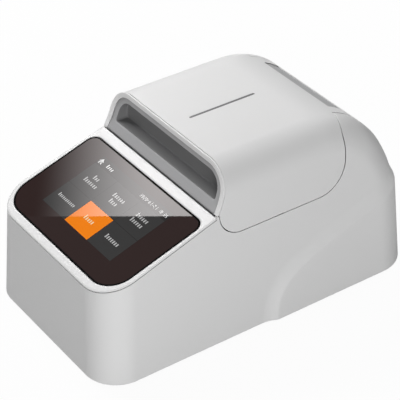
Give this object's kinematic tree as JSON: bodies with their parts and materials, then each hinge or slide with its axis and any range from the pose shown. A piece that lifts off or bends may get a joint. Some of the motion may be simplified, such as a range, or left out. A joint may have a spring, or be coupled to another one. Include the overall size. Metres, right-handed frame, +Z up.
{
  "type": "glycated hemoglobin analyzer",
  "caption": "Compact benchtop analyzer: wedge-shaped white case with a sloped touch screen, and a rear-hinged hood with a finger recess over a cartridge turntable",
  "frame": {"origin": "on the bench under the middle of the object's box", "axes": "+Z up, the screen's front faces -Y, +X to the right as seen from the front"},
  "size_m": [0.195, 0.333, 0.17],
  "materials": {
    "cover_white": "moulded, fine satin texture",
    "rim_white": "moulded, semi-gloss",
    "trim_grey": "moulded, satin",
    "recess_grey": "moulded, matt",
    "inner_grey": "moulded, matt",
    "black_plastic": "moulded, matt",
    "screen_glass": "dark polished cover glass over the display",
    "rubber_black": "matt",
    "steel": "plain",
    "brass": "turned",
    "board": "solder mask",
    "lens": "polished",
    "red_window": "tinted",
    "gear_white": "natural moulded"
  },
  "bodies": {
    "case": {"main_housing": "cover_white", "base_plate": "black_plastic", "deck_posts": "steel", "feet": "rubber_black", "case_screws": "steel", "screen_bezel": "rim_white", "touch_glass": "screen_glass", "display_panel": "black_plastic", "display_bracket": "steel", "main_board": "board", "board_screws": "steel", "speaker": "black_plastic", "bay_deck": "inner_grey", "bay_walls": "inner_grey", "turntable_bush": "brass", "heater_ring": "steel", "optics_block": "black_plastic", "optics_lens": "lens", "barcode_reader": "black_plastic", "reader_window": "red_window", "motor_bracket": "steel", "drive_motor": "black_plastic", "catch_plates": "steel", "hinge_trough": "inner_grey", "hinge_bar": "trim_grey", "hinge_pin": "steel", "rear_panel": "recess_grey", "io_board": "board", "switch_frame": "black_plastic", "power_inlet": "black_plastic", "usb_ports": "steel", "lan_port": "steel"},
    "lid": {"lid_shell": "cover_white", "lid_rim": "rim_white", "pocket_frame": "trim_grey", "handle_pocket": "recess_grey", "lid_strip": "trim_grey", "lid_liner": "inner_grey", "lid_screws": "steel", "lid_magnets": "steel", "hinge_arms": "cover_white", "hinge_bushes": "brass"},
    "rotor": {"turntable": "inner_grey", "turntable_shaft": "steel", "turntable_gear": "gear_white"},
    "pinion": {"motor_pinion": "brass"},
    "rocker": {"power_rocker": "black_plastic"}
  },
  "joints": [
    {"name": "lid_hinge", "type": "hinge", "parent": "case", "child": "lid", "pos_m": [0, 0.1055, 0.15209], "axis": [-1, 0, 0], "range_deg": [0, 75]},
    {"name": "turntable_spin", "type": "hinge", "parent": "case", "child": "rotor", "pos_m": [0, 0.0203, 0.082], "axis": [0, 0, 1], "continuous": true},
    {"name": "pinion_spin", "type": "hinge", "parent": "case", "child": "pinion", "pos_m": [0, 0.06717, 0.068], "axis": [0, 0, 1], "continuous": true},
    {"name": "rocker_tilt", "type": "hinge", "parent": "case", "child": "rocker", "pos_m": [-0.046, 0.15847, 0.03948], "axis": [1, 0, 0], "range_deg": [0, 16]}
  ],
  "couplings": [
    {"joint": "pinion_spin", "follows": "turntable_spin", "ratio": -4}
  ]
}
